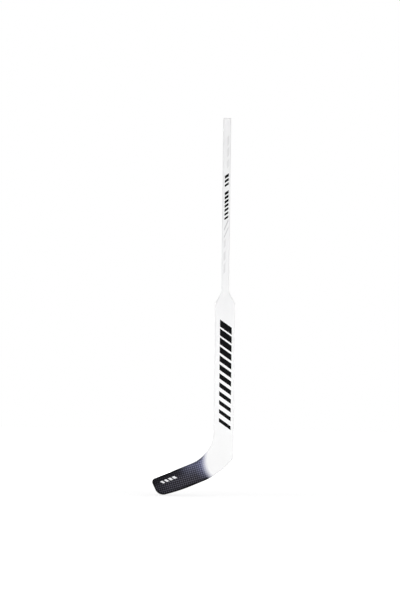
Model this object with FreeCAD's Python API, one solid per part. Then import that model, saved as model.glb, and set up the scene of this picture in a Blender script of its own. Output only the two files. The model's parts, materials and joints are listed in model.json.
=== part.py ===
import FreeCAD, Part
import math
import os

# Hockey goalie stick of foam-core build, in millimetres. It is upright: +Z runs up the shaft, the toe of the
# blade points to -X and the front is at -Y. The origin is on the shaft's axis, in the middle of the blocker
# hand's grip just above the shoulders of the paddle.

# Shaft
SHAFT_WIDTH = 30.0
SHAFT_THICKNESS = 20.0
SHAFT_LENGTH = 662.5  # from the top of the shoulders to the butt end
GRIP_LENGTH = 100.0  # breadth of the gloved hand that holds the shaft above the shoulders
SLEEVE_WALL = 0.8  # glass-fibre sleeve of shaft and paddle
STRIP_THICKNESS = 0.5  # stiffening strips on the spine's wide faces
PLY_NAMES = ["front_ply", "front_cross_ply", "centre_ply", "back_cross_ply", "back_ply"]

# Butt cap
CAP_HEIGHT = 9.0
CAP_RADIUS = 2.5  # rounding of the cap's end
SPIGOT_DIAMETER = 8.0
SPIGOT_LENGTH = 26.0
SPIGOT_CLEARANCE = 0.1  # glue gap round and under the spigot

# Paddle
PADDLE_WIDTH = 77.0
VENEER_THICKNESS = 1.5  # face veneers, which make the paddle thicker than the shaft
PADDLE_LENGTH = 669.5  # from the top of the shoulders to the heel point
SHOULDER_HEIGHT = 43.0
SHOULDER_RADIUS = 14.0  # where the slopes meet the paddle's edges
SHOULDER_BLEND = 14.0  # where the slopes leave the shaft
COLLAR_HEIGHT = 16.0  # how far the paddle's sleeve runs up the shaft
RAMP_LENGTH = 60.0  # length over which the paddle's faces rise from the shaft's
VENEER_FEATHER_SHARE = 0.4  # share of the ramp, from its top, that the thinned veneers leave free
SHOULDER_BLOCK_DEPTH = 60.0  # from the top of the shoulders to the underside of their blocks
SHOULDER_BLOCK_TIP = 6.0  # from the top of the shoulders to the blunt tip of their blocks
RAIL_WIDTH = 7.0

# Heel
HEEL_CUT = 27.0  # from the heel point to the slanting cut across the heel
HEEL_CUT_ANGLE = 47.5  # slope of that cut, in degrees
HEEL_REAR_RADIUS = 20.0
HEEL_SOLE_RADIUS = 260.0  # where that cut runs into the sole
HEEL_BLOCK_HEIGHT = 130.0  # from the heel point to the block's top
SPINE_DEPTH = 60.0  # how far the spine reaches into the heel block
SLOT_DEPTH = 70.0  # slot in the spine's end that takes the tongue

# Blade, in its own directions: along it from the heel point to the toe, and across it from the sole up
LIE_ANGLE = 23.0  # slope of the sole while the shaft is upright, in degrees
BLADE_LENGTH = 306.5
BLADE_HEIGHT = 79.0
BLADE_TOE_THICKNESS = 12.0
EDGE_RADIUS = 5.5  # rounding of all long outer edges
BLADE_BEND = 36.0  # how far the toe is bent back
CURVE_START = 92.0  # where the bend begins, from the heel point
WRAP_START = 80.0  # where the paddle's sleeve ends and the blade's skins begin
INNER_RADIUS = 134.0  # sweep from the paddle's edge into the blade's top edge
TOE_LEAN = 2.5  # lean of the toe's end, in degrees
TOE_TOP_RADIUS = 14.5
TOE_SOLE_RADIUS = 33.0
KICK_LENGTH = 86.5  # from where the sole starts to lift to the toe
KICK_ANGLE = 7.2  # lift of the sole there, in degrees
KICK_RADIUS = 700.0  # where the lift begins
SKIN_THICKNESS = 1.0
RIM_WIDTH = 6.0
RIB_THICKNESS = 3.0
TONGUE_HEIGHT = 32.0
RIB_LENGTH = 64.5  # from the tongue's end to the toe insert
TONGUE_INNER_RADIUS = 20.0
TONGUE_OUTER_RADIUS = 60.0
TONGUE_END_RADIUS = 8.0
TOE_INSERT_LENGTH = 42.0

OVERRUN = 40.0  # how far cutting shapes run past what they cut
SQUARE_SHARE = 1e-6  # largest lean, as a sine, of a face that counts as square to the middle plane
ROUND_SHARE = 0.95  # largest share of a run, or of half a thickness, that roundings take up

# Heights on the shaft's axis
SHOULDER_Z = -GRIP_LENGTH / 2
HEEL_Z = SHOULDER_Z - PADDLE_LENGTH
BUTT_Z = SHOULDER_Z + SHAFT_LENGTH
SLEEVE_TOP_Z = BUTT_Z - CAP_HEIGHT
COLLAR_Z = SHOULDER_Z + COLLAR_HEIGHT
RAMP_END_Z = SHOULDER_Z - RAMP_LENGTH
VENEER_TOP_Z = SHOULDER_Z - VENEER_FEATHER_SHARE * RAMP_LENGTH
BLOCK_TIP_Z = SHOULDER_Z - SHOULDER_BLOCK_TIP
SHOULDER_BLOCK_Z = SHOULDER_Z - SHOULDER_BLOCK_DEPTH
HEEL_BLOCK_Z = HEEL_Z + HEEL_BLOCK_HEIGHT
SPINE_END_Z = HEEL_BLOCK_Z - SPINE_DEPTH
SLOT_TOP_Z = SPINE_END_Z + SLOT_DEPTH

# Sizes that follow from the ones above
PADDLE_THICKNESS = SHAFT_THICKNESS + 2 * VENEER_THICKNESS
ROUNDING = min(EDGE_RADIUS, ROUND_SHARE * BLADE_TOE_THICKNESS / 2)
SPINE_EDGE = SHAFT_WIDTH / 2 - SLEEVE_WALL
CORE_FACE = SHAFT_THICKNESS / 2 - SLEEVE_WALL
PLY_THICKNESS = 2 * (CORE_FACE - STRIP_THICKNESS) / len(PLY_NAMES)
FOAM_EDGE = PADDLE_WIDTH / 2 - SLEEVE_WALL - RAIL_WIDTH
BLADE_MIDDLE = BLADE_HEIGHT / 2
INSERT_START = BLADE_LENGTH - TOE_INSERT_LENGTH
TONGUE_REACH = INSERT_START - RIB_LENGTH  # from the heel point to the tongue's end
REACH = SHAFT_LENGTH + PADDLE_LENGTH + BLADE_LENGTH  # longer than anything that is cut

# Directions and the heel point, where the lines of the sole and of the paddle's rear edge cross
LIE = math.radians(LIE_ANGLE)
UP = FreeCAD.Vector(0, 0, 1)
BACK = FreeCAD.Vector(0, 1, 0)
ALONG = FreeCAD.Vector(-math.cos(LIE), 0, -math.sin(LIE))
ACROSS = FreeCAD.Vector(-math.sin(LIE), 0, math.cos(LIE))
HEEL_POINT = FreeCAD.Vector(PADDLE_WIDTH / 2, 0, HEEL_Z)


def bend_radius(run, drop):
    """Radius of an arc that leaves a straight line and drops away from it by drop over run."""
    return (run * run + drop * drop) / (2 * drop)


BLADE_RUN = BLADE_LENGTH - CURVE_START
BLADE_THINNING = PADDLE_THICKNESS - BLADE_TOE_THICKNESS
BACK_RADIUS = bend_radius(BLADE_RUN, BLADE_BEND)
FRONT_RADIUS = bend_radius(BLADE_RUN, BLADE_BEND + BLADE_THINNING)


# Outlines on the stick's middle plane

def on_plane(x, z):
    return FreeCAD.Vector(x, 0, z)


def on_blade(along, across):
    return HEEL_POINT + ALONG * along + ACROSS * across


def meet(point, direction, other_point, other_direction):
    """Where two lines on the middle plane cross."""
    gap = other_point - point
    share = gap.cross(other_direction).y / direction.cross(other_direction).y
    return point + direction * share


def with_room(corners):
    """Corners whose arcs are made smaller where two of them don't fit on the run between them."""
    count = len(corners)
    points = [point for point, radius in corners]
    runs = [points[(i + 1) % count] - points[i] for i in range(count)]
    reaches = [corners[i][1] * math.tan(runs[i - 1].getAngle(runs[i]) / 2) for i in range(count)]
    fits = []
    for i in range(count):
        wanted = reaches[i] + reaches[(i + 1) % count]
        fits.append(min(1, ROUND_SHARE * runs[i].Length / wanted) if wanted else 1)
    return [(points[i], corners[i][1] * min(fits[i - 1], fits[i])) for i in range(count)]


def rounded_face(corners, inset=0):
    """Face inside an outline of straight runs and tangent arcs, drawn in by inset.

    Each corner is a point and a radius, and the corners run anticlockwise as seen from the front.
    """
    corners = with_room(corners)
    count = len(corners)
    points = [point for point, radius in corners]
    runs = [(points[(i + 1) % count] - points[i]).normalize() for i in range(count)]
    moved = [points[i] + runs[i].cross(BACK) * inset for i in range(count)]
    starts = []
    ends = []
    edges = []
    for i in range(count):
        before = runs[i - 1]
        after = runs[i]
        corner = meet(moved[i - 1], before, moved[i], after)
        half_turn = before.getAngle(after) / 2
        hollow = before.cross(after).y > 0
        radius = corners[i][1]
        if radius:
            radius = radius + inset if hollow else max(radius - inset, 0)
        starts.append(corner - before * (radius * math.tan(half_turn)))
        ends.append(corner + after * (radius * math.tan(half_turn)))
        if radius:
            sagged = corner + (after - before).normalize() * (radius / math.cos(half_turn) - radius)
            edges.append(Part.Arc(starts[i], sagged, ends[i]).toShape())
    for i in range(count):
        edges.append(Part.LineSegment(ends[i], starts[(i + 1) % count]).toShape())
    return Part.Face(Part.Wire(Part.__sortEdges__(edges)))


def stick_outline():
    """Corners of paddle and blade, from the collar down the toe side and back up the heel side."""
    shaft_edge = SHAFT_WIDTH / 2
    paddle_edge = PADDLE_WIDTH / 2
    top = COLLAR_Z + OVERRUN
    shoulder_foot = SHOULDER_Z - SHOULDER_HEIGHT
    lean = math.radians(TOE_LEAN)
    kick = math.radians(KICK_ANGLE)
    cut = math.radians(HEEL_CUT_ANGLE)
    kick_point = on_blade(BLADE_LENGTH - KICK_LENGTH, 0)
    kick_run = ALONG * math.cos(kick) + ACROSS * math.sin(kick)
    toe_top = on_blade(BLADE_LENGTH, BLADE_HEIGHT)
    toe_run = ALONG * math.sin(lean) + ACROSS * math.cos(lean)
    cut_run = FreeCAD.Vector(math.cos(cut), 0, math.sin(cut))
    cut_point = HEEL_POINT + cut_run.cross(BACK) * HEEL_CUT
    return [
        (on_plane(-shaft_edge, top), 0),
        (on_plane(-shaft_edge, SHOULDER_Z), SHOULDER_BLEND),
        (on_plane(-paddle_edge, shoulder_foot), SHOULDER_RADIUS),
        (meet(on_plane(-paddle_edge, 0), UP, toe_top, ALONG), INNER_RADIUS),
        (toe_top, TOE_TOP_RADIUS),
        (meet(toe_top, toe_run, kick_point, kick_run), TOE_SOLE_RADIUS),
        (kick_point, KICK_RADIUS),
        (meet(kick_point, ALONG, cut_point, cut_run), HEEL_SOLE_RADIUS),
        (meet(HEEL_POINT, UP, cut_point, cut_run), HEEL_REAR_RADIUS),
        (on_plane(paddle_edge, shoulder_foot), SHOULDER_RADIUS),
        (on_plane(shaft_edge, SHOULDER_Z), SHOULDER_BLEND),
        (on_plane(shaft_edge, top), 0),
    ]


def tongue_outline():
    """Corners of the tongue: as wide as the spine above, and bent into the blade below."""
    high = BLADE_MIDDLE + TONGUE_HEIGHT / 2
    low = BLADE_MIDDLE - TONGUE_HEIGHT / 2
    high_end = on_blade(TONGUE_REACH, high)
    low_end = on_blade(TONGUE_REACH, low)
    return [
        (on_plane(-SPINE_EDGE, SLOT_TOP_Z), 0),
        (meet(on_plane(-SPINE_EDGE, 0), UP, high_end, ALONG), TONGUE_INNER_RADIUS),
        (high_end, TONGUE_END_RADIUS),
        (low_end, TONGUE_END_RADIUS),
        (meet(on_plane(SPINE_EDGE, 0), UP, low_end, ALONG), TONGUE_OUTER_RADIUS),
        (on_plane(SPINE_EDGE, SLOT_TOP_Z), 0),
    ]


# Cutting shapes

def through(face):
    """Face on the middle plane, drawn out through the whole depth of the stick."""
    span = PADDLE_THICKNESS + BLADE_BEND + OVERRUN
    return face.translated(BACK * -span).extrude(BACK * (2 * span))


def block(x_low, x_high, y_low, y_high, z_low, z_high):
    corner = FreeCAD.Vector(x_low, y_low, z_low)
    return Part.makeBox(x_high - x_low, y_high - y_low, z_high - z_low, corner)


def upright_block(x_low, x_high, z_low, z_high):
    return block(x_low, x_high, -REACH, REACH, z_low, z_high)


def depth_block(y_low, y_high, z_low=-REACH, z_high=REACH):
    return block(-REACH, REACH, y_low, y_high, z_low, z_high)


def blade_block(start, end, low=-REACH, high=REACH):
    """Block in the blade's directions, from start to end along it and from low to high across it."""
    corners = [on_blade(start, high), on_blade(end, high), on_blade(end, low), on_blade(start, low)]
    return through(rounded_face([(corner, 0) for corner in corners]))


def front_face(depth):
    """Place and bend radius of a face that lies depth below the blade's front."""
    return -PADDLE_THICKNESS / 2 + depth, FRONT_RADIUS - depth


def back_face(depth):
    return PADDLE_THICKNESS / 2 - depth, BACK_RADIUS + depth


def layer(front, back):
    """Slab between two faces that are flat over the paddle and bend back with the blade."""
    def at(along, y):
        return on_blade(along, -OVERRUN) + BACK * y

    def bent(face, share):
        y, radius = face
        turn = share * math.asin((BLADE_RUN + OVERRUN) / radius)
        return at(CURVE_START + radius * math.sin(turn), y + radius - radius * math.cos(turn))

    edges = []
    for face in (front, back):
        edges.append(Part.LineSegment(at(-REACH, face[0]), bent(face, 0)).toShape())
        edges.append(Part.Arc(bent(face, 0), bent(face, 0.5), bent(face, 1)).toShape())
    edges.append(Part.LineSegment(at(-REACH, front[0]), at(-REACH, back[0])).toShape())
    edges.append(Part.LineSegment(bent(front, 1), bent(back, 1)).toShape())
    return Part.Face(Part.Wire(Part.__sortEdges__(edges))).extrude(ACROSS * REACH)


def ramp(inset):
    """Slab whose faces ease from the paddle's thickness to the shaft's in two equal arcs."""
    paddle_y = PADDLE_THICKNESS / 2 - inset
    shaft_y = SHAFT_THICKNESS / 2 - inset
    middle_y = (paddle_y + shaft_y) / 2
    middle_z = (RAMP_END_Z + SHOULDER_Z) / 2
    run = SHOULDER_Z - middle_z
    radius = bend_radius(run, middle_y - shaft_y)
    half_turn = math.asin(run / radius) / 2
    ease_z = radius * math.sin(half_turn)
    ease_y = radius - radius * math.cos(half_turn)
    foot = RAMP_END_Z - OVERRUN
    top = COLLAR_Z + 2 * OVERRUN

    def at(y, z):
        return FreeCAD.Vector(-REACH, y, z)

    edges = [
        Part.LineSegment(at(-paddle_y, foot), at(paddle_y, foot)).toShape(),
        Part.LineSegment(at(-shaft_y, top), at(shaft_y, top)).toShape(),
    ]
    for side in (-1, 1):
        low = at(side * paddle_y, RAMP_END_Z)
        low_ease = at(side * (paddle_y - ease_y), RAMP_END_Z + ease_z)
        middle = at(side * middle_y, middle_z)
        high_ease = at(side * (shaft_y + ease_y), SHOULDER_Z - ease_z)
        high = at(side * shaft_y, SHOULDER_Z)
        edges.append(Part.LineSegment(at(side * paddle_y, foot), low).toShape())
        edges.append(Part.Arc(low, low_ease, middle).toShape())
        edges.append(Part.Arc(middle, high_ease, high).toShape())
        edges.append(Part.LineSegment(high, at(side * shaft_y, top)).toShape())
    profile = Part.Face(Part.Wire(Part.__sortEdges__(edges)))
    return profile.extrude(FreeCAD.Vector(2 * REACH, 0, 0))


# Bodies that the pieces are cut from

def is_wall(face):
    """True of a face that stands square to the middle plane."""
    u_low, u_high, v_low, v_high = face.ParameterRange
    normal = face.normalAt((u_low + u_high) / 2, (v_low + v_high) / 2)
    return abs(normal.dot(BACK)) < SQUARE_SHARE


def eased(solid, radius):
    """Solid with the edges between its front or back and its walls rounded."""
    wall_edges = [edge for face in solid.Faces if is_wall(face) for edge in face.Edges]
    face_edges = [edge for face in solid.Faces if not is_wall(face) for edge in face.Edges]
    long_edges = [edge for edge in face_edges if any(edge.isSame(other) for other in wall_edges)]
    return solid.makeFillet(radius, long_edges)


def stick_body(inset):
    """Paddle and blade as one rounded solid, lying inset below the outer surface."""
    outline = through(rounded_face(stick_outline(), inset))
    radius = ROUNDING - inset
    lower = eased(outline.common(layer(front_face(inset), back_face(inset))), radius)
    upper = eased(outline.common(ramp(inset)), radius)
    lower = lower.common(depth_block(-REACH, REACH, -REACH, RAMP_END_Z))
    upper = upper.common(depth_block(-REACH, REACH, RAMP_END_Z, COLLAR_Z))
    return lower.fuse(upper).removeSplitter()


def bar(width, thickness, radius, z_low, z_high):
    """Upright bar on the shaft's axis with rounded corners."""
    solid = block(-width / 2, width / 2, -thickness / 2, thickness / 2, z_low, z_high)
    uprights = [edge for edge in solid.Edges if edge.BoundBox.ZLength > edge.BoundBox.DiagonalLength / 2]
    return solid.makeFillet(radius, uprights)


def spine_bar(z_low):
    return bar(2 * SPINE_EDGE, 2 * CORE_FACE, ROUNDING - SLEEVE_WALL, z_low, SLEEVE_TOP_Z)


OUTER = stick_body(0)
INNER = stick_body(SLEEVE_WALL)
PADDLE_ZONE = blade_block(-REACH, WRAP_START)
BLADE_ZONE = blade_block(WRAP_START, BLADE_LENGTH + OVERRUN)
PADDLE_CORE = INNER.common(PADDLE_ZONE).common(depth_block(-CORE_FACE, CORE_FACE))
SPINE = spine_bar(SPINE_END_Z)
BLADE_PRISM = through(rounded_face(stick_outline(), RIM_WIDTH)).common(BLADE_ZONE)


# Shaft

def butt_cap():
    cap = bar(SHAFT_WIDTH, SHAFT_THICKNESS, ROUNDING, SLEEVE_TOP_Z, BUTT_Z)
    end_edges = [edge for edge in cap.Edges if edge.BoundBox.ZMin > BUTT_Z - CAP_HEIGHT / 2]
    cap = cap.makeFillet(CAP_RADIUS, end_edges)
    spigot = Part.makeCylinder(SPIGOT_DIAMETER / 2, SPIGOT_LENGTH, on_plane(0, SLEEVE_TOP_Z), -UP)
    return cap.fuse(spigot).removeSplitter()


def spigot_hole():
    radius = SPIGOT_DIAMETER / 2 + SPIGOT_CLEARANCE
    depth = SPIGOT_LENGTH + SPIGOT_CLEARANCE
    return Part.makeCylinder(radius, depth, on_plane(0, SLEEVE_TOP_Z), -UP)


def shaft_sleeve():
    outside = bar(SHAFT_WIDTH, SHAFT_THICKNESS, ROUNDING, COLLAR_Z, SLEEVE_TOP_Z)
    return outside.cut(spine_bar(COLLAR_Z))


def spine_ply(index):
    """Ply of the spine, counted from the front. The middle one stops short to leave the tongue's slot."""
    front = STRIP_THICKNESS - CORE_FACE + index * PLY_THICKNESS
    end = SLOT_TOP_Z if index == len(PLY_NAMES) // 2 else SPINE_END_Z
    return SPINE.common(depth_block(front, front + PLY_THICKNESS, end)).cut(spigot_hole())


def spine_front_strip():
    return SPINE.common(depth_block(-CORE_FACE, STRIP_THICKNESS - CORE_FACE))


def spine_back_strip():
    return SPINE.common(depth_block(CORE_FACE - STRIP_THICKNESS, CORE_FACE))


# Paddle. Pieces left and right of the spine take side -1 for the toe side and 1 for the heel side.

def paddle_sleeve():
    return OUTER.cut(INNER).common(PADDLE_ZONE)


def side_block(side, near, far, z_low, z_high):
    """Block beside the spine, from near to far off the middle."""
    return upright_block(min(side * near, side * far), max(side * near, side * far), z_low, z_high)


def shoulder_block(side):
    return PADDLE_CORE.common(side_block(side, SPINE_EDGE, REACH, SHOULDER_BLOCK_Z, BLOCK_TIP_Z))


def paddle_foam(side):
    return PADDLE_CORE.common(side_block(side, SPINE_EDGE, FOAM_EDGE, HEEL_BLOCK_Z, SHOULDER_BLOCK_Z))


def paddle_rail(side):
    return PADDLE_CORE.common(side_block(side, FOAM_EDGE, REACH, HEEL_BLOCK_Z, SHOULDER_BLOCK_Z))


def paddle_front_veneer():
    return INNER.common(PADDLE_ZONE).common(depth_block(-REACH, -CORE_FACE, -REACH, VENEER_TOP_Z))


def paddle_back_veneer():
    return INNER.common(PADDLE_ZONE).common(depth_block(CORE_FACE, REACH, -REACH, VENEER_TOP_Z))


def heel_block():
    notch = upright_block(-SPINE_EDGE, SPINE_EDGE, SPINE_END_Z, HEEL_BLOCK_Z)
    whole = PADDLE_CORE.common(depth_block(-REACH, REACH, -REACH, HEEL_BLOCK_Z))
    return whole.cut(notch).cut(TONGUE)


# Blade

def blade_tongue():
    """Bent tongue, as thick as the ply whose place it takes in the spine's slot."""
    middle = PADDLE_THICKNESS / 2
    front = front_face(middle - PLY_THICKNESS / 2)
    back = front_face(middle + PLY_THICKNESS / 2)
    return through(rounded_face(tongue_outline())).common(layer(front, back))


TONGUE = blade_tongue()
BLADE_CORE = BLADE_PRISM.common(layer(front_face(SKIN_THICKNESS), back_face(SKIN_THICKNESS))).cut(TONGUE)


def blade_rim():
    return OUTER.common(BLADE_ZONE).cut(BLADE_PRISM)


def blade_front_skin():
    return BLADE_PRISM.common(layer(front_face(0), front_face(SKIN_THICKNESS)))


def blade_back_skin():
    return BLADE_PRISM.common(layer(back_face(SKIN_THICKNESS), back_face(0)))


def rib_block():
    low = BLADE_MIDDLE - RIB_THICKNESS / 2
    return blade_block(TONGUE_REACH, INSERT_START, low, low + RIB_THICKNESS)


def blade_rib():
    return BLADE_CORE.common(rib_block())


def blade_upper_foam():
    return BLADE_CORE.common(blade_block(WRAP_START, INSERT_START, BLADE_MIDDLE, REACH)).cut(rib_block())


def blade_lower_foam():
    return BLADE_CORE.common(blade_block(WRAP_START, INSERT_START, -REACH, BLADE_MIDDLE)).cut(rib_block())


def toe_insert():
    return BLADE_CORE.common(blade_block(INSERT_START, BLADE_LENGTH + OVERRUN))


def pieces():
    """Every piece of the stick by name."""
    found = {
        "butt_cap": butt_cap(),
        "shaft_sleeve": shaft_sleeve(),
        "spine_front_strip": spine_front_strip(),
        "spine_back_strip": spine_back_strip(),
        "paddle_sleeve": paddle_sleeve(),
        "paddle_front_veneer": paddle_front_veneer(),
        "paddle_back_veneer": paddle_back_veneer(),
        "heel_block": heel_block(),
        "blade_tongue": TONGUE,
        "blade_rim": blade_rim(),
        "blade_front_skin": blade_front_skin(),
        "blade_back_skin": blade_back_skin(),
        "blade_rib": blade_rib(),
        "blade_upper_foam": blade_upper_foam(),
        "blade_lower_foam": blade_lower_foam(),
        "toe_insert": toe_insert(),
    }
    for index, name in enumerate(PLY_NAMES):
        found["spine_" + name] = spine_ply(index)
    for side, name in ((-1, "toe_side"), (1, "heel_side")):
        found[name + "_shoulder_block"] = shoulder_block(side)
        found[name + "_paddle_foam"] = paddle_foam(side)
        found[name + "_rail"] = paddle_rail(side)
    return found


os.makedirs("parts", exist_ok=True)
for node, shape in pieces().items():
    shape.exportStep("parts/" + node + ".step")
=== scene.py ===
import json
import math

import bpy
from mathutils import Matrix, Vector


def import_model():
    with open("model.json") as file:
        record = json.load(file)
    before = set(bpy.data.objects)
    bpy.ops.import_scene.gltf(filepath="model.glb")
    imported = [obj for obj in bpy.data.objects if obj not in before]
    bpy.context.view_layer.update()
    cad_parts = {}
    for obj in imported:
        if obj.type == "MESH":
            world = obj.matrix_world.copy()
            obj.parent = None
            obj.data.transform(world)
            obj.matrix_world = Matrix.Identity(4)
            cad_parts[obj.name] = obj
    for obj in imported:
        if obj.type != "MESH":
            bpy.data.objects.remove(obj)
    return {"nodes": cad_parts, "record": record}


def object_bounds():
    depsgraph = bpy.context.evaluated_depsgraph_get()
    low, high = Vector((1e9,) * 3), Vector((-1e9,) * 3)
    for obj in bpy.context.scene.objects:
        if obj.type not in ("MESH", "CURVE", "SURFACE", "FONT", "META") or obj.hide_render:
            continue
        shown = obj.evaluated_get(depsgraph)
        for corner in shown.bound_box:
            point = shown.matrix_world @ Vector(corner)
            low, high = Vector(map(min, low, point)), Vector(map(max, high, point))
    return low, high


# Looks of a hockey goalie stick: white lacquer on shaft and paddle, a woven blade that is airbrushed to white
# at the heel, and wood, foam and glass fibre inside. Lengths are in metres. Where a value is a pair, it holds
# the two ends of a change or of a range.

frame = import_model()
CAD_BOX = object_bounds()

# Blade, measured along it from the heel point to the toe and across it from the sole up
LIE = math.radians(23)  # slope of the sole
HEEL_POINT = Vector((0.0385, 0, -0.7195))
ALONG = Vector((-math.cos(LIE), 0, -math.sin(LIE)))
ACROSS = Vector((-math.sin(LIE), 0, math.cos(LIE)))
BLADE_HEIGHT = 0.079
BLADE_MIDDLE = BLADE_HEIGHT / 2

# Noise
NOISE_DETAIL = 2
BROAD_DETAIL = 1
FINE_DETAIL = 3
NOISE_MIDDLE = 0.5
NOISE_SPAN = (0.3, 0.7)  # where most of its values lie

# White lacquer over glass fibre
LACQUER_WHITE = (0.93, 0.93, 0.93, 1)
LACQUER_SHADE = (0.885, 0.885, 0.892, 1)
LACQUER_ROUGHNESS = (0.26, 0.36)
LACQUER_SPECULAR = 0.05
CLOUD_SIZES = (0.03, 0.03, 0.12)  # patches of whiter and greyer lacquer
PEEL_SIZES = (0.0022, 0.0022, 0.0022)  # grains of the orange peel
PEEL_DEPTH = 0.00015
CLOTH_RATE = 2400  # radians per metre in the wave of the glass cloth
CLOTH_PEEL_SHARE = 0.12  # what the cloth adds to the orange peel
CLOTH_TONE_SHARE = 0.35  # what the cloth adds to the white
PRINT_AND_LIGHT_HEIGHTS = (-0.60, 0.10)  # where the white is whitest and greyest, by height: whiter low on the paddle as painted light, greyer up the shaft partly as its pale grey print and partly as painted shade
PRINT_AND_LIGHT_SHARES = (0.5, -0.4)

# Printed bars, in columns. Middle is a column's place across the surface, start is where its first bar begins
# and period is from one bar to the next. Slant is how far a bar runs along the column per length across it.
# Shares are how much of the period the first and the last bar take up.
INK_BLACK = (0.0015, 0.0015, 0.002, 1)
INK_GREY = (0.62, 0.62, 0.63, 1)
INK_PALE = (0.78, 0.78, 0.785, 1)
MARK_WHITE = (0.84, 0.84, 0.86, 1)
SHAFT_PALE_BARS = (
    dict(middle=0.005, start=-0.545, period=0.046, count=3, width=0.007, slant=1.6, shares=(0.8, 0.6)),
    dict(middle=-0.004, start=-0.150, period=0.045, count=3, width=0.007, slant=1.6, shares=(0.6, 0.8)),
)
SHAFT_GREY_BARS = (
    dict(middle=0.001, start=-0.212, period=0.030, count=2, width=0.016, slant=2.4, shares=(0.35, 0.20)),
)
SHAFT_BLACK_BARS = (
    dict(middle=0.001, start=-0.398, period=0.017, count=3, width=0.015, slant=0.7, shares=(0.7, 0.5)),
    dict(middle=0.001, start=-0.334, period=0.016, count=7, width=0.015, slant=0.7, shares=(0.7, 0.5)),
)
PADDLE_BARS = (
    dict(middle=0.004, start=0.168, period=0.034, count=12, width=0.045, slant=-0.7, shares=(0.80, 0.44)),
)
BLADE_BARS = (
    dict(middle=0.0545, start=0.214, period=0.0165, count=4, width=0.011, slant=-0.8, shares=(0.7, 0.5)),
)

# Airbrushed change from white to the dark blade, and a painted sheen near the heel
SLATE = (0.160, 0.168, 0.268, 1)
SLATE_DEEP = (0.085, 0.090, 0.143, 1)  # the slate tone in the hollows of the weave, darker there as painted shade
SLATE_PALE = (0.32, 0.336, 0.535, 1)  # the slate tone on its crowns, paler there as painted sheen
THIN_WHITE = (0.775, 0.79, 0.965, 1)  # white paint where the dark shows through it
FADE_START = 0.088  # along the blade at its middle
FADE_BOW = 0.0095  # how much earlier it comes at the blade's edges
FADE_TILT = 0.0006  # how much earlier still it comes at the top edge, and later at the sole
FADE_REACH = 1.4  # how far off the middle that goes on, in halves of the blade's height
FADE_WHITE = (-0.006, 0.026)  # where the white thins out, from the start
FADE_SLATE = (0.010, 0.056)  # where the slate tone under it thins out, from the start
SLATE_SHARE = 0.92
SLATE_ACROSS = (-0.020, 0.068)  # where the slate tone begins and is full, up from the sole
SHEEN_ACROSS = (0.020, 0.095)  # where a painted sheen begins and is full, up from the sole
SHEEN_ALONG = (0.140, 0.208)  # where that painted sheen thins out towards the toe
SHEEN_SHARE = 0.60
SPECKLE_SIZES = (0.0012, 0.0012, 0.0012)
SPECKLE_SPREAD = 0.006  # how far the speckle shifts the change

# Weave of the blade, with its sheen and shade painted into its colour
TOW = 0.0055  # width of one flat bundle of fibres
TOW_TURN = math.radians(61.6)  # slope of one set of bundles; the other is square to it
TOW_ALONG = Vector((math.cos(TOW_TURN), 0, math.sin(TOW_TURN)))
TOW_ACROSS = Vector((-math.sin(TOW_TURN), 0, math.cos(TOW_TURN)))
TOW_MIDDLE_SHARE = 0.5
CROWN_SPAN = (0.26, 0.5)  # where a tow's crown falls to the hollow, in tows from the middle
CROWN_SHARES = (1, 0.2)  # height of crown and hollow, and their brightness: the crown painted bright as a highlight, the hollow dark as painted shade
UPRIGHT_SHEEN_SHARE = 0.82  # how much brighter the upright tows are painted, as painted sheen for the light that tows of this direction reflect
LEVEL_SHEEN_SHARE = 0.06  # painted sheen of the level tows
FIBRE = 0.0005
STREAK = 30 * FIBRE  # length of a fibre's streak
FIBRE_SPAN = (0.2, 0.8)  # where most values of the fibres' noise lie
FIBRE_TONE_SHARE = 0.5
FIBRE_BUMP_SHARE = 0.3
WEAVE_DEPTH = 0.00012
WEAVE_DARK = (0.003, 0.0027, 0.0042, 1)
# colour of the weave's brightest painted sheen; the edging's scuffs also take it
WEAVE_LIGHT = (0.115, 0.111, 0.143, 1)
WEAVE_ROUGHNESS = (0.24, 0.36)
BLADE_SPECULAR = 0.05
TOE_ALONG = (0.230, 0.310)  # where the weave is painted darker towards the toe, as painted shade
TOE_SHADE_SHARE = 0.6
TOP_ALONG = (0.150, 0.195)  # where its upper part is painted darker, as painted shade
TOP_ACROSS = (0.042, 0.064)
TOP_SHADE_SHARE = 0.7
SOLE_ACROSS = (0.006, 0.018)  # where the darker band along the sole ends, up from the sole
SOLE_SHARE = 0.5

# Edging of the blade
EDGING_DARK = (0.003, 0.0028, 0.0036, 1)
EDGING_SLATE = (0.075, 0.077, 0.105, 1)
EDGING_ROUGHNESS = (0.34, 0.5)
EDGING_SIZES = (0.0016, 0.0016, 0.0016)  # grains of the mould
EDGING_DEPTH = 0.00008
SCUFF_SIZES = (0.02, 0.02, 0.004)
SCUFF_SHARE = 0.04

# Moulded plastic and foam
PATCH_GRAINS = 20  # how many grains wide a patch of another tone is
MOULDED_DEPTH_SHARE = 0.1  # depth of a grain, as a share of its size
MOULDED_ROUGHNESS = (0.45, 0.6)
MOULDINGS = {
    "butt_cap": dict(low=(0.88, 0.88, 0.88, 1), high=(0.93, 0.93, 0.93, 1), size=0.0008),
    "core_foam": dict(low=(0.72, 0.66, 0.46, 1), high=(0.88, 0.83, 0.66, 1), size=0.0014),
    "blade_bridge": dict(low=(0.010, 0.010, 0.012, 1), high=(0.030, 0.030, 0.034, 1), size=0.0006),
    "toe_plastic": dict(low=(0.020, 0.020, 0.022, 1), high=(0.050, 0.050, 0.055, 1), size=0.0010),
}

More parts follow.
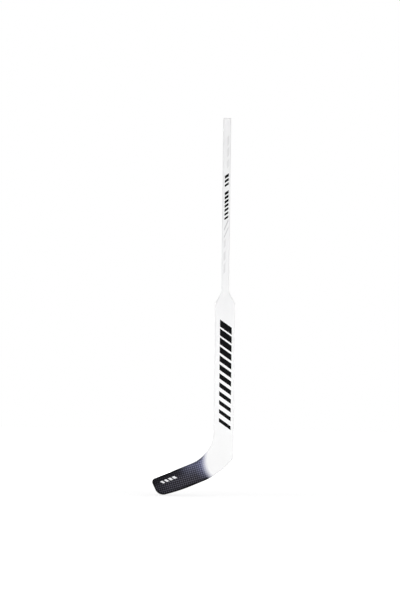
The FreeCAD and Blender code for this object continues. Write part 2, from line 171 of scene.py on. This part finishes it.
# Wood, whose grain runs along the longest of its three sizes
BAND_COUNT = 9  # growth bands in the noise's range
BAND_TONE_SHARE = 0.55
PORE_TONE_SHARE = 0.45
PORE_SIZE_SHARE = 0.125
PORE_DEPTH = 0.0001
WOOD_ROUGHNESS = (0.55, 0.75)
WOODS = {
    "spine_wood": dict(early=(0.72, 0.56, 0.34, 1), late=(0.55, 0.39, 0.21, 1), sizes=(0.010, 0.010, 0.3)),
    "cross_wood": dict(early=(0.50, 0.32, 0.17, 1), late=(0.32, 0.18, 0.08, 1), sizes=(0.3, 0.010, 0.010)),
    "hardwood": dict(early=(0.55, 0.38, 0.20, 1), late=(0.33, 0.20, 0.09, 1), sizes=(0.012, 0.012, 0.25)),
    "face_veneer": dict(early=(0.74, 0.57, 0.35, 1), late=(0.60, 0.43, 0.24, 1), sizes=(0.008, 0.008, 0.35)),
    "tongue_wood": dict(early=(0.57, 0.37, 0.18, 1), late=(0.38, 0.22, 0.09, 1), sizes=(0.25, 0.006, 0.02)),
}

# Glass-fibre strips
STRIP_DARK = (0.50, 0.55, 0.40, 1)
STRIP_LIGHT = (0.76, 0.79, 0.66, 1)
STRIP_ROUGHNESS = (0.25, 0.4)
STRAND_SIZES = (0.0006, 0.0006, 0.05)
STRAND_DEPTH = 0.00005

# Stage
WHITE = (1, 1, 1, 1)
WORLD_LIGHT = 0.45
FLOOR_GAP = 0.001  # between the stick and the floor
FLOOR_HALF = 12.0
FLOOR_COLOUR = (0.80, 0.80, 0.80, 1)
FLOOR_GLOW = (0.46, 0.80)  # near the stick and far from it
FLOOR_REACH = (0.6, 3.5)  # where the glow begins to grow and where it is full
LAMP_AIM = Vector((0, 0, -0.1))
LAMPS = {
    "key": dict(place=(-0.9, -2.7, -0.58), size=0.4, power=16.6),
    "fill": dict(place=(0.9, -2.7, -0.58), size=0.4, power=14.4),
    "side_left": dict(place=(-1.3, -0.65, -0.58), size=0.3, power=4.1),
    "side_right": dict(place=(1.3, -0.65, -0.58), size=0.3, power=4.7),
    "top": dict(place=(0, -0.5, 0.95), size=0.2, power=0.6),
    "rear": dict(place=(0, 3.4, -0.3), size=0.8, power=16),
    "rear_left": dict(place=(-2.6, 3.0, -0.3), size=0.8, power=34),
    "rear_right": dict(place=(2.6, 3.0, -0.3), size=0.8, power=34),
}
PICTURE_MIDDLE = Vector((-0.0955, 0, -0.0796))
CAMERA_DISTANCE = 24.0
CAMERA_REACH = 100.0
CAMERA_ROLL = math.radians(0.68)
LEVEL_TURN = math.radians(90)  # from looking straight down to looking level
VIEW_HEIGHT = 2.28  # height of the picture at the stick
SENSOR = 36.0

# Sockets of a colour mix: the share and the two colours, and the result
MIX_INPUTS = (0, 6, 7)
MIX_RESULT = 2


class Nodes:
    """Shader nodes of one tree. Most calls add nodes and return their output."""

    def __init__(self, tree):
        self.tree = tree

    def node(self, kind):
        return self.tree.nodes.new(kind)

    def feed(self, socket, value):
        """Links an output to a socket, or sets the socket to a plain value."""
        if isinstance(value, bpy.types.NodeSocket):
            self.tree.links.new(value, socket)
        else:
            socket.default_value = value

    def math(self, operation, *values):
        node = self.node("ShaderNodeMath")
        node.operation = operation
        for socket, value in zip(node.inputs, values):
            self.feed(socket, value)
        return node.outputs[0]

    def scaled(self, value, span, ends, smooth=False):
        """Value taken from one range to another."""
        node = self.node("ShaderNodeMapRange")
        if smooth:
            node.interpolation_type = "SMOOTHSTEP"
        for socket, given in zip(node.inputs, (value, *span, *ends)):
            self.feed(socket, given)
        return node.outputs[0]

    def background_rays(self):
        """1 for rays that look straight at the background, in mirrors or through glass."""
        path = self.node("ShaderNodeLightPath")
        seen = path.outputs["Is Camera Ray"]
        for name in ("Is Glossy Ray", "Is Transmission Ray"):
            seen = self.math("MAXIMUM", seen, path.outputs[name])
        return seen


class Graph(Nodes):
    """Shader nodes of one new material."""

    def __init__(self, name):
        self.material = bpy.data.materials.new(name)
        self.material.use_nodes = True
        super().__init__(self.material.node_tree)
        self.shader = self.tree.nodes["Principled BSDF"]
        self.place = self.node("ShaderNodeTexCoord").outputs["Object"]
        split = self.node("ShaderNodeSeparateXYZ")
        self.feed(split.inputs[0], self.place)
        self.x, self.y, self.z = split.outputs

    def rise(self, value, span, ends=(0, 1)):
        """The first end before the span, the second one after it and smooth between."""
        return self.scaled(value, span, ends, smooth=True)

    def distance(self, origin, direction):
        """How far a point lies from origin in a direction."""
        node = self.node("ShaderNodeVectorMath")
        node.operation = "DOT_PRODUCT"
        self.feed(node.inputs[0], self.place)
        self.feed(node.inputs[1], direction)
        return self.math("SUBTRACT", node.outputs["Value"], origin.dot(direction))

    def joined(self, *values):
        """Place made of three values."""
        node = self.node("ShaderNodeCombineXYZ")
        for socket, value in zip(node.inputs, values):
            self.feed(socket, value)
        return node.outputs[0]

    def grain(self, sizes, detail=NOISE_DETAIL, place=None):
        """Noise whose grains have these sizes along the three axes."""
        stretch = self.node("ShaderNodeVectorMath")
        stretch.operation = "DIVIDE"
        self.feed(stretch.inputs[0], place or self.place)
        self.feed(stretch.inputs[1], sizes)
        node = self.node("ShaderNodeTexNoise")
        self.feed(node.inputs["Vector"], stretch.outputs[0])
        self.feed(node.inputs["Scale"], 1)
        self.feed(node.inputs["Detail"], detail)
        return node.outputs[0]

    def mix(self, share, first, second):
        node = self.node("ShaderNodeMix")
        node.data_type = "RGBA"
        for place, value in zip(MIX_INPUTS, (share, first, second)):
            self.feed(node.inputs[place], value)
        return node.outputs[MIX_RESULT]

    def bars(self, across, along, middle, start, period, count, width, slant, shares):
        """1 inside one column of slanting bars."""
        off_middle = self.math("SUBTRACT", across, middle)
        place = self.math("ADD", along, self.math("MULTIPLY", off_middle, slant))
        place = self.math("DIVIDE", self.math("SUBTRACT", place, start), period)
        bar = self.math("LESS_THAN", self.math("FRACT", place), self.rise(place, (0, count), shares))
        inside = self.math("COMPARE", place, count / 2, count / 2)
        side = self.math("LESS_THAN", self.math("ABSOLUTE", off_middle), width / 2)
        return self.math("MULTIPLY", self.math("MULTIPLY", bar, inside), side)

    def printed(self, colour, ink, across, along, columns):
        """Colour with the bars of these columns printed on it."""
        for column in columns:
            colour = self.mix(self.bars(across, along, **column), colour, ink)
        return colour

    def bump(self, height, depth):
        """Sets the shader's normal from a height between 0 and 1."""
        node = self.node("ShaderNodeBump")
        self.feed(node.inputs["Distance"], depth)
        self.feed(node.inputs["Height"], height)
        self.feed(self.shader.inputs["Normal"], node.outputs[0])

    def rough(self, noise, roughness, span=NOISE_SPAN):
        """Sets a roughness that follows a noise."""
        self.feed(self.shader.inputs["Roughness"], self.rise(noise, span, roughness))

    def specular(self, level):
        """Sets the shader's specular level."""
        self.shader.inputs["Specular IOR Level"].default_value = level

    def painted(self, colour):
        """The material, in this colour."""
        self.feed(self.shader.inputs["Base Color"], colour)
        return self.material


def lacquer(graph):
    """White lacquer over glass fibre: cloudy white, orange peel, the cloth's faint print, and painted light
    low on the paddle with painted shade up the shaft.
    """
    clouds = graph.grain(CLOUD_SIZES)
    peel = graph.grain(PEEL_SIZES)
    warp = graph.math("SINE", graph.math("MULTIPLY", graph.x, CLOTH_RATE))
    weft = graph.math("SINE", graph.math("MULTIPLY", graph.z, CLOTH_RATE))
    cloth = graph.math("MULTIPLY", warp, weft)
    graph.bump(graph.math("ADD", peel, graph.math("MULTIPLY", cloth, CLOTH_PEEL_SHARE)), PEEL_DEPTH)
    graph.rough(clouds, LACQUER_ROUGHNESS)
    graph.specular(LACQUER_SPECULAR)
    white_share = graph.math("ADD", clouds, graph.math("MULTIPLY", cloth, CLOTH_TONE_SHARE))
    # painted light and shade by height: whiter low on the paddle, greyer up the shaft, partly for its pale
    # grey print
    white_share = graph.math("ADD", white_share, graph.rise(graph.z, PRINT_AND_LIGHT_HEIGHTS, PRINT_AND_LIGHT_SHARES))
    return graph.mix(white_share, LACQUER_SHADE, LACQUER_WHITE)


def airbrushed(graph, dark, white=LACQUER_WHITE, slate=SLATE, sheen_tone=SLATE):
    """Dark colour of the blade under the white paint that thins out from the heel, with a painted sheen on
    its upper part near the heel.
    """
    along = graph.distance(HEEL_POINT, ALONG)
    across = graph.distance(HEEL_POINT, ACROSS)
    off_middle = graph.math("DIVIDE", graph.math("SUBTRACT", across, BLADE_MIDDLE), BLADE_MIDDLE)
    off_middle = graph.math("MINIMUM", off_middle, FADE_REACH)
    bow = graph.math("ADD", graph.math("MULTIPLY", off_middle, FADE_BOW), FADE_TILT)
    bow = graph.math("MULTIPLY", off_middle, bow)
    speckle = graph.math("SUBTRACT", graph.grain(SPECKLE_SIZES), NOISE_MIDDLE)
    speckle = graph.math("MULTIPLY", speckle, SPECKLE_SPREAD)
    depth = graph.math("SUBTRACT", graph.math("ADD", along, bow), FADE_START)
    depth = graph.math("ADD", depth, speckle)
    white_share = graph.rise(depth, FADE_WHITE, (1, 0))
    slate_share = graph.rise(depth, FADE_SLATE, (SLATE_SHARE, 0))
    slate_share = graph.math("MULTIPLY", slate_share, graph.rise(across, SLATE_ACROSS))
    # painted sheen: the upper part of the blade near the heel is painted paler
    sheen_share = graph.rise(along, SHEEN_ALONG, (SHEEN_SHARE, 0))
    sheen_share = graph.math("MULTIPLY", graph.rise(across, SHEEN_ACROSS), sheen_share)
    slate_over_sheen = graph.mix(slate_share, graph.mix(sheen_share, dark, sheen_tone), slate)
    return graph.mix(white_share, slate_over_sheen, graph.mix(white_share, THIN_WHITE, white))


def shaft_lacquer():
    graph = Graph("shaft_lacquer")
    colour = lacquer(graph)
    down = graph.math("MULTIPLY", graph.z, -1)
    colour = graph.printed(colour, INK_PALE, graph.x, down, SHAFT_PALE_BARS)
    colour = graph.printed(colour, INK_GREY, graph.x, down, SHAFT_GREY_BARS)
    colour = graph.printed(colour, INK_BLACK, graph.x, down, SHAFT_BLACK_BARS)
    return graph.painted(colour)


def paddle_lacquer():
    graph = Graph("paddle_lacquer")
    colour = airbrushed(graph, EDGING_DARK, lacquer(graph))
    down = graph.math("MULTIPLY", graph.z, -1)
    return graph.painted(graph.printed(colour, INK_BLACK, graph.x, down, PADDLE_BARS))


def tows(graph):
    """Crowns, fibres and tone of flat tows that go over and under each other.

    The tow on top alternates like the fields of a chess board. The tone is painted sheen: upright tows and
    crowns are painted brighter, level tows and hollows darker, in place of the light the tows reflect, with
    fibre streaks added.
    """
    along = graph.distance(HEEL_POINT, TOW_ALONG)
    across = graph.distance(HEEL_POINT, TOW_ACROSS)
    place = graph.joined(along, graph.y, across)
    column = graph.math("DIVIDE", along, TOW)
    row = graph.math("DIVIDE", across, TOW)
    fields = graph.math("ADD", graph.math("FLOOR", column), graph.math("FLOOR", row))
    upright = graph.math("ABSOLUTE", graph.math("MODULO", fields, 2))
    level = graph.math("SUBTRACT", 1, upright)
    side = graph.math("SUBTRACT", graph.math("FRACT", column), TOW_MIDDLE_SHARE)
    height = graph.math("SUBTRACT", graph.math("FRACT", row), TOW_MIDDLE_SHARE)
    off_middle = graph.math("MAXIMUM", graph.math("ABSOLUTE", side), graph.math("ABSOLUTE", height))
    crown = graph.rise(off_middle, CROWN_SPAN, CROWN_SHARES)
    upright_fibres = graph.math("MULTIPLY", upright, graph.grain((FIBRE, FIBRE, STREAK), place=place))
    level_fibres = graph.math("MULTIPLY", level, graph.grain((STREAK, FIBRE, FIBRE), place=place))
    fibres = graph.math("ADD", upright_fibres, level_fibres)
    # painted sheen: upright tows brighter than level ones, brightest on the crowns
    painted_sheen = graph.math("ADD", graph.math("MULTIPLY", upright, UPRIGHT_SHEEN_SHARE), LEVEL_SHEEN_SHARE)
    painted_sheen = graph.math("MULTIPLY", painted_sheen, crown)
    streaks = graph.math("MULTIPLY", graph.math("SUBTRACT", fibres, NOISE_MIDDLE), FIBRE_TONE_SHARE)
    return crown, fibres, graph.math("ADD", painted_sheen, streaks)


def blade_weave(name, columns=()):
    """Woven blade under its airbrushed paint, with bars in these columns."""
    graph = Graph(name)
    crown, fibres, tone = tows(graph)
    # slate painted paler on the crowns and deeper in the hollows, as painted sheen and shade
    slate = graph.mix(tone, SLATE_DEEP, SLATE_PALE)
    along = graph.distance(HEEL_POINT, ALONG)
    across = graph.distance(HEEL_POINT, ACROSS)
    # painted shade on the upper part of the blade towards the toe
    painted_top_shade = graph.rise(across, TOP_ACROSS, (0, TOP_SHADE_SHARE))
    painted_top_shade = graph.math("MULTIPLY", graph.rise(along, TOP_ALONG), painted_top_shade)
    # painted shade towards the toe
    tone = graph.math("MULTIPLY", tone, graph.rise(along, TOE_ALONG, (1, TOE_SHADE_SHARE)))
    tone = graph.math("MULTIPLY", tone, graph.rise(across, SOLE_ACROSS, (SOLE_SHARE, 1)))
    tone = graph.math("MULTIPLY", tone, graph.math("SUBTRACT", 1, painted_top_shade))
    colour = graph.mix(tone, WEAVE_DARK, WEAVE_LIGHT)
    colour = graph.printed(colour, MARK_WHITE, across, along, columns)
    graph.bump(graph.math("ADD", crown, graph.math("MULTIPLY", fibres, FIBRE_BUMP_SHARE)), WEAVE_DEPTH)
    graph.rough(fibres, WEAVE_ROUGHNESS, FIBRE_SPAN)
    graph.specular(BLADE_SPECULAR)
    return graph.painted(airbrushed(graph, colour, slate=slate, sheen_tone=slate))


def blade_edging():
    graph = Graph("blade_edging")
    scuffs = graph.grain(SCUFF_SIZES)
    colour = graph.mix(graph.math("MULTIPLY", scuffs, SCUFF_SHARE), EDGING_DARK, WEAVE_LIGHT)
    graph.bump(graph.grain(EDGING_SIZES), EDGING_DEPTH)
    graph.rough(scuffs, EDGING_ROUGHNESS)
    graph.specular(BLADE_SPECULAR)
    return graph.painted(airbrushed(graph, colour, slate=EDGING_SLATE))


def moulded(name, low, high, size):
    """Moulded plastic or foam with a grain of this size."""
    graph = Graph(name)
    texture = graph.grain((size, size, size))
    patch = PATCH_GRAINS * size
    patches = graph.grain((patch, patch, patch))
    graph.bump(texture, MOULDED_DEPTH_SHARE * size)
    graph.rough(patches, MOULDED_ROUGHNESS)
    return graph.painted(graph.mix(graph.math("MULTIPLY", texture, patches), low, high))


def wood(name, early, late, sizes):
    """Wood with growth bands and pores drawn out along the longest of the sizes."""
    graph = Graph(name)
    bands = graph.math("FRACT", graph.math("MULTIPLY", graph.grain(sizes, BROAD_DETAIL), BAND_COUNT))
    pores = graph.grain([PORE_SIZE_SHARE * size for size in sizes], FINE_DETAIL)
    band_tone = graph.math("MULTIPLY", bands, BAND_TONE_SHARE)
    pore_tone = graph.math("MULTIPLY", pores, PORE_TONE_SHARE)
    graph.bump(pores, PORE_DEPTH)
    graph.rough(pores, WOOD_ROUGHNESS)
    return graph.painted(graph.mix(graph.math("ADD", band_tone, pore_tone), early, late))


def glass_strip():
    graph = Graph("stiffening_strip")
    strands = graph.grain(STRAND_SIZES, FINE_DETAIL)
    graph.bump(strands, STRAND_DEPTH)
    graph.rough(strands, STRIP_ROUGHNESS)
    return graph.painted(graph.mix(strands, STRIP_DARK, STRIP_LIGHT))


def materials():
    """Material of every slot, by the slot's name."""
    made = {
        "shaft_lacquer": shaft_lacquer(),
        "paddle_lacquer": paddle_lacquer(),
        "blade_weave": blade_weave("blade_weave"),
        "blade_edging": blade_edging(),
        "stiffening_strip": glass_strip(),
    }
    for name, values in MOULDINGS.items():
        made[name] = moulded(name, **values)
    for name, values in WOODS.items():
        made[name] = wood(name, **values)
    return made


def dress():
    """Gives every CAD node the material of its slot, and the blade's front its bars."""
    made = materials()
    for part in frame["record"]["subparts"]:
        slots = frame["nodes"][part["node"]].data.materials
        slots.clear()
        slots.append(made[part["material_slot"]])
    front = frame["nodes"]["blade_front_skin"].data.materials
    front[0] = blade_weave("blade_weave_front", BLADE_BARS)


def world():
    """White surroundings, with a light of their own that is less than white."""
    made = bpy.data.worlds.new("studio")
    made.use_nodes = True
    bpy.context.scene.world = made
    nodes = Nodes(made.node_tree)
    sky = made.node_tree.nodes["Background"]
    sky.inputs["Color"].default_value = WHITE
    nodes.feed(sky.inputs["Strength"], nodes.scaled(nodes.background_rays(), (0, 1), (WORLD_LIGHT, 1)))


def placed(name, data):
    """New object in the scene."""
    made = bpy.data.objects.new(name, data)
    bpy.context.scene.collection.objects.link(made)
    return made


def floor_paint():
    """Pale paint that glows where the camera sees it, and still shows the stick's shadow."""
    graph = Graph("floor")
    shader = graph.shader
    shader.inputs["Roughness"].default_value = 1
    shader.inputs["Emission Color"].default_value = WHITE
    graph.specular(0)
    reach = graph.node("ShaderNodeVectorMath")
    reach.operation = "LENGTH"
    graph.feed(reach.inputs[0], graph.place)
    glow = graph.scaled(reach.outputs["Value"], FLOOR_REACH, FLOOR_GLOW)
    graph.feed(shader.inputs["Emission Strength"], graph.scaled(graph.background_rays(), (0, 1), (0, glow)))
    return graph.painted(FLOOR_COLOUR)


def floor():
    low = CAD_BOX[0].z - FLOOR_GAP
    corners = [(x * FLOOR_HALF, y * FLOOR_HALF, low) for x, y in ((-1, -1), (1, -1), (1, 1), (-1, 1))]
    mesh = bpy.data.meshes.new("floor")
    mesh.from_pydata(corners, [], [(0, 1, 2, 3)])
    mesh.materials.append(floor_paint())
    made = placed("floor", mesh)


def lamp(name, place, size, power):
    """Square lamp that the camera doesn't see, aimed at the stick."""
    data = bpy.data.lights.new(name, "AREA")
    data.size = size
    data.energy = power
    made = placed(name, data)
    made.location = place
    made.rotation_euler = (LAMP_AIM - made.location).to_track_quat("-Z", "Y").to_euler()
    made.visible_camera = False


def camera():
    """Camera far in front of the stick, level and a little rolled."""
    data = bpy.data.cameras.new("camera")
    data.sensor_width = SENSOR
    data.lens = SENSOR * CAMERA_DISTANCE / VIEW_HEIGHT
    data.clip_end = CAMERA_REACH
    made = placed("camera", data)
    turn = Matrix.Rotation(LEVEL_TURN, 4, "X") @ Matrix.Rotation(CAMERA_ROLL, 4, "Z")
    made.matrix_world = Matrix.Translation(PICTURE_MIDDLE - Vector((0, CAMERA_DISTANCE, 0))) @ turn
    bpy.context.scene.camera = made


dress()
world()
floor()
for lamp_name, lamp_values in LAMPS.items():
    lamp(lamp_name, **lamp_values)
camera()
bpy.context.scene.view_settings.view_transform = "Standard"
